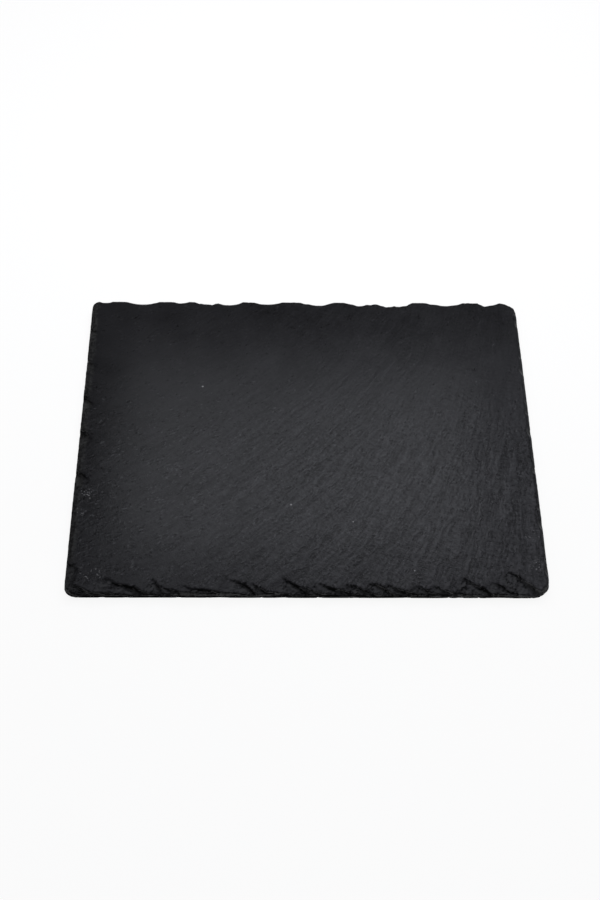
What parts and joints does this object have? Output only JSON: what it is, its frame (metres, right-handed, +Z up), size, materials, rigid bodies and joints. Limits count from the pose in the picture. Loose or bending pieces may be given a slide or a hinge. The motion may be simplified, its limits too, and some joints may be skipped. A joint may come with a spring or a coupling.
{
  "type": "slate serving board",
  "caption": "Flat rectangular serving board of riven black slate with hand-dressed, flaked edges, standing on stick-on foam feet.",
  "frame": {"origin": "on the table, under the middle of the board", "axes": "+X along the length, to the right as the user sees it; +Y from the front edge to the back edge; +Z up"},
  "size_m": [0.3, 0.25, 0.008],
  "materials": {
    "slate": "matte",
    "foot_foam": "matte",
    "adhesive": "matte"
  },
  "bodies": {
    "root": {"slate_slab": "slate", "foot_pad_front_left": "foot_foam", "foot_pad_front_right": "foot_foam", "foot_pad_back_left": "foot_foam", "foot_pad_back_right": "foot_foam", "adhesive_disc_front_left": "adhesive", "adhesive_disc_front_right": "adhesive", "adhesive_disc_back_left": "adhesive", "adhesive_disc_back_right": "adhesive"}
  },
  "joints": []
}
